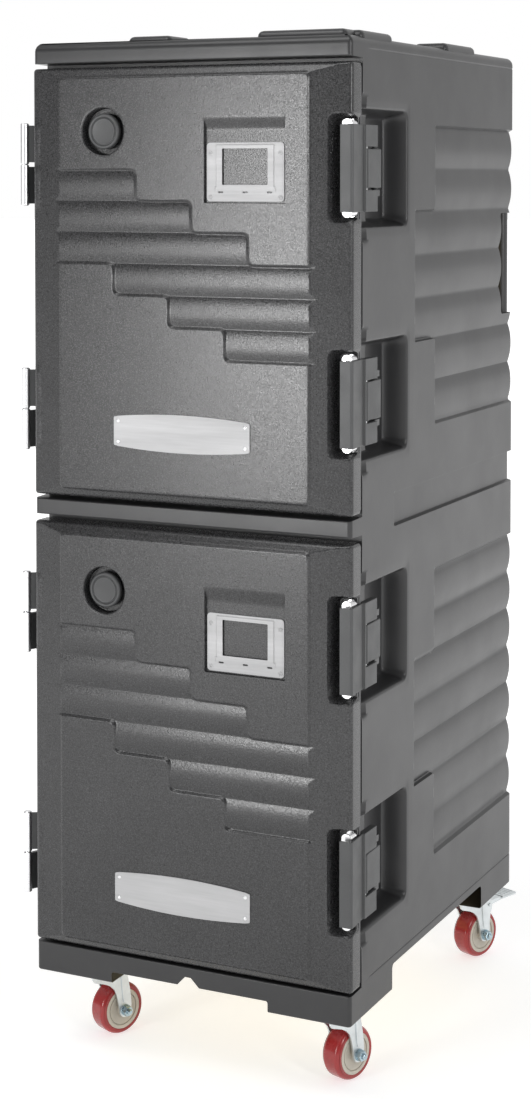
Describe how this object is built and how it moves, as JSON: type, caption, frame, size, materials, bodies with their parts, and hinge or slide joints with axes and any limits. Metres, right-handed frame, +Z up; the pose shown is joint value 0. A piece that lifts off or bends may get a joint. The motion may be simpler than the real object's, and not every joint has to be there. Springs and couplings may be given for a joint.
{
  "type": "insulated food carrier",
  "caption": "Tall insulated food carrier with stacked hinged doors, draw latches, card holders, vent caps and swivel casters.",
  "frame": {"origin": "on the floor, at the middle of the cabinet's width and depth", "axes": "+Z up; the doors face -Y; the latch side is +X and the hinge side is -X"},
  "size_m": [0.5262, 0.7116, 1.459],
  "materials": {
    "black_polyethylene": "fine moulded grain",
    "liner_polyethylene": "smooth moulded",
    "insulating_foam": "foamed in place",
    "seal_rubber": "matte",
    "black_nylon": "satin moulded",
    "stainless_steel": "brushed",
    "zinc_plate": "zinc plated",
    "blue_zinc": "blue zinc plated",
    "satin_plate": "satin",
    "red_tread": "gloss polyurethane",
    "cream_hub": "moulded"
  },
  "bodies": {
    "cabinet": {"outer_shell": "black_polyethylene", "insulation_core": "insulating_foam", "lower_liner": "liner_polyethylene", "upper_liner": "liner_polyethylene", "lower_hinge_1_body_leaf": "stainless_steel", "lower_hinge_2_body_leaf": "stainless_steel", "upper_hinge_1_body_leaf": "stainless_steel", "upper_hinge_2_body_leaf": "stainless_steel", "caster_fr_plate": "zinc_plate", "caster_fl_plate": "zinc_plate", "caster_rr_plate": "zinc_plate", "caster_rl_plate": "zinc_plate"},
    "lower_door": {"lower_door_skin": "black_polyethylene", "lower_door_insulation": "insulating_foam", "lower_door_inner_panel": "liner_polyethylene", "lower_door_seal": "seal_rubber", "lower_card_holder": "satin_plate", "lower_name_plate": "satin_plate", "lower_hinge_1_door_leaf": "stainless_steel", "lower_hinge_2_door_leaf": "stainless_steel", "lower_latch_1_keeper": "stainless_steel", "lower_latch_2_keeper": "stainless_steel"},
    "lower_vent": {"lower_vent_cap": "black_nylon"},
    "lower_latch_1_link": {"lower_latch_1_link": "black_nylon"},
    "lower_latch_1_lever": {"lower_latch_1_lever": "black_nylon"},
    "lower_latch_2_link": {"lower_latch_2_link": "black_nylon"},
    "lower_latch_2_lever": {"lower_latch_2_lever": "black_nylon"},
    "upper_door": {"upper_door_skin": "black_polyethylene", "upper_door_insulation": "insulating_foam", "upper_door_inner_panel": "liner_polyethylene", "upper_door_seal": "seal_rubber", "upper_card_holder": "satin_plate", "upper_name_plate": "satin_plate", "upper_hinge_1_door_leaf": "stainless_steel", "upper_hinge_2_door_leaf": "stainless_steel", "upper_latch_1_keeper": "stainless_steel", "upper_latch_2_keeper": "stainless_steel"},
    "upper_vent": {"upper_vent_cap": "black_nylon"},
    "upper_latch_1_link": {"upper_latch_1_link": "black_nylon"},
    "upper_latch_1_lever": {"upper_latch_1_lever": "black_nylon"},
    "upper_latch_2_link": {"upper_latch_2_link": "black_nylon"},
    "upper_latch_2_lever": {"upper_latch_2_lever": "black_nylon"},
    "caster_fr_swivel": {"caster_fr_fork": "zinc_plate", "caster_fr_axle": "blue_zinc"},
    "caster_fr_wheel": {"caster_fr_tread": "red_tread", "caster_fr_hub": "cream_hub"},
    "caster_fl_swivel": {"caster_fl_fork": "zinc_plate", "caster_fl_axle": "blue_zinc"},
    "caster_fl_wheel": {"caster_fl_tread": "red_tread", "caster_fl_hub": "cream_hub"},
    "caster_rr_swivel": {"caster_rr_fork": "zinc_plate", "caster_rr_axle": "blue_zinc"},
    "caster_rr_wheel": {"caster_rr_tread": "red_tread", "caster_rr_hub": "cream_hub"},
    "caster_rr_pedal": {"caster_rr_brake_pedal": "zinc_plate"},
    "caster_rl_swivel": {"caster_rl_fork": "zinc_plate", "caster_rl_axle": "blue_zinc"},
    "caster_rl_wheel": {"caster_rl_tread": "red_tread", "caster_rl_hub": "cream_hub"},
    "caster_rl_pedal": {"caster_rl_brake_pedal": "zinc_plate"}
  },
  "joints": [
    {"name": "lower_door_hinge", "type": "hinge", "parent": "cabinet", "child": "lower_door", "pos_m": [-0.268, -0.318, 0.4645], "axis": [0, 0, -1], "range_deg": [0, 240]},
    {"name": "lower_vent_pull", "type": "slide", "parent": "lower_door", "child": "lower_vent", "axis": [0, -1, 0], "range_m": [0, 0.005]},
    {"name": "lower_latch_1_link_pivot", "type": "hinge", "parent": "cabinet", "child": "lower_latch_1_link", "pos_m": [0.239, -0.231, 0.3115], "axis": [0, 0, 1], "range_deg": [0, 100]},
    {"name": "lower_latch_1_lever_pivot", "type": "hinge", "parent": "lower_latch_1_link", "child": "lower_latch_1_lever", "pos_m": [0.2465, -0.279, 0.3115], "axis": [0, 0, 1], "range_deg": [0, 25]},
    {"name": "lower_latch_2_link_pivot", "type": "hinge", "parent": "cabinet", "child": "lower_latch_2_link", "pos_m": [0.239, -0.231, 0.6265], "axis": [0, 0, 1], "range_deg": [0, 100]},
    {"name": "lower_latch_2_lever_pivot", "type": "hinge", "parent": "lower_latch_2_link", "child": "lower_latch_2_lever", "pos_m": [0.2465, -0.279, 0.6265], "axis": [0, 0, 1], "range_deg": [0, 25]},
    {"name": "upper_door_hinge", "type": "hinge", "parent": "cabinet", "child": "upper_door", "pos_m": [-0.268, -0.318, 1.11], "axis": [0, 0, -1], "range_deg": [0, 240]},
    {"name": "upper_vent_pull", "type": "slide", "parent": "upper_door", "child": "upper_vent", "axis": [0, -1, 0], "range_m": [0, 0.005]},
    {"name": "upper_latch_1_link_pivot", "type": "hinge", "parent": "cabinet", "child": "upper_latch_1_link", "pos_m": [0.239, -0.231, 0.957], "axis": [0, 0, 1], "range_deg": [0, 100]},
    {"name": "upper_latch_1_lever_pivot", "type": "hinge", "parent": "upper_latch_1_link", "child": "upper_latch_1_lever", "pos_m": [0.2465, -0.279, 0.957], "axis": [0, 0, 1], "range_deg": [0, 25]},
    {"name": "upper_latch_2_link_pivot", "type": "hinge", "parent": "cabinet", "child": "upper_latch_2_link", "pos_m": [0.239, -0.231, 1.272], "axis": [0, 0, 1], "range_deg": [0, 100]},
    {"name": "upper_latch_2_lever_pivot", "type": "hinge", "parent": "upper_latch_2_link", "child": "upper_latch_2_lever", "pos_m": [0.2465, -0.279, 1.272], "axis": [0, 0, 1], "range_deg": [0, 25]},
    {"name": "caster_fr_swivel_turn", "type": "hinge", "parent": "cabinet", "child": "caster_fr_swivel", "pos_m": [0.187, -0.257, 0.1147], "axis": [0, 0, 1], "continuous": true},
    {"name": "caster_fr_wheel_roll", "type": "hinge", "parent": "caster_fr_swivel", "child": "caster_fr_wheel", "pos_m": [0.19751, -0.22466, 0.0375], "axis": [0.9511, -0.309, 0], "continuous": true},
    {"name": "caster_fl_swivel_turn", "type": "hinge", "parent": "cabinet", "child": "caster_fl_swivel", "pos_m": [-0.187, -0.257, 0.1147], "axis": [0, 0, 1], "continuous": true},
    {"name": "caster_fl_wheel_roll", "type": "hinge", "parent": "caster_fl_swivel", "child": "caster_fl_wheel", "pos_m": [-0.17317, -0.22594, 0.0375], "axis": [0.9135, -0.4067, 0], "continuous": true},
    {"name": "caster_rr_swivel_turn", "type": "hinge", "parent": "cabinet", "child": "caster_rr_swivel", "pos_m": [0.187, 0.257, 0.1147], "axis": [0, 0, 1], "continuous": true},
    {"name": "caster_rr_wheel_roll", "type": "hinge", "parent": "caster_rr_swivel", "child": "caster_rr_wheel", "pos_m": [0.19919, 0.28874, 0.0375], "axis": [0.9336, -0.3584, 0], "continuous": true},
    {"name": "caster_rr_pedal_press", "type": "hinge", "parent": "caster_rr_swivel", "child": "caster_rr_pedal", "pos_m": [0.20277, 0.29808, 0.084], "axis": [-0.9336, 0.3584, 0], "range_deg": [0, 25]},
    {"name": "caster_rl_swivel_turn", "type": "hinge", "parent": "cabinet", "child": "caster_rl_swivel", "pos_m": [-0.187, 0.257, 0.1147], "axis": [0, 0, 1], "continuous": true},
    {"name": "caster_rl_wheel_roll", "type": "hinge", "parent": "caster_rl_swivel", "child": "caster_rl_wheel", "pos_m": [-0.1782, 0.28984, 0.0375], "axis": [0.9659, -0.2588, 0], "continuous": true},
    {"name": "caster_rl_pedal_press", "type": "hinge", "parent": "caster_rl_swivel", "child": "caster_rl_pedal", "pos_m": [-0.17561, 0.2995, 0.084], "axis": [-0.9659, 0.2588, 0], "range_deg": [0, 25]}
  ]
}
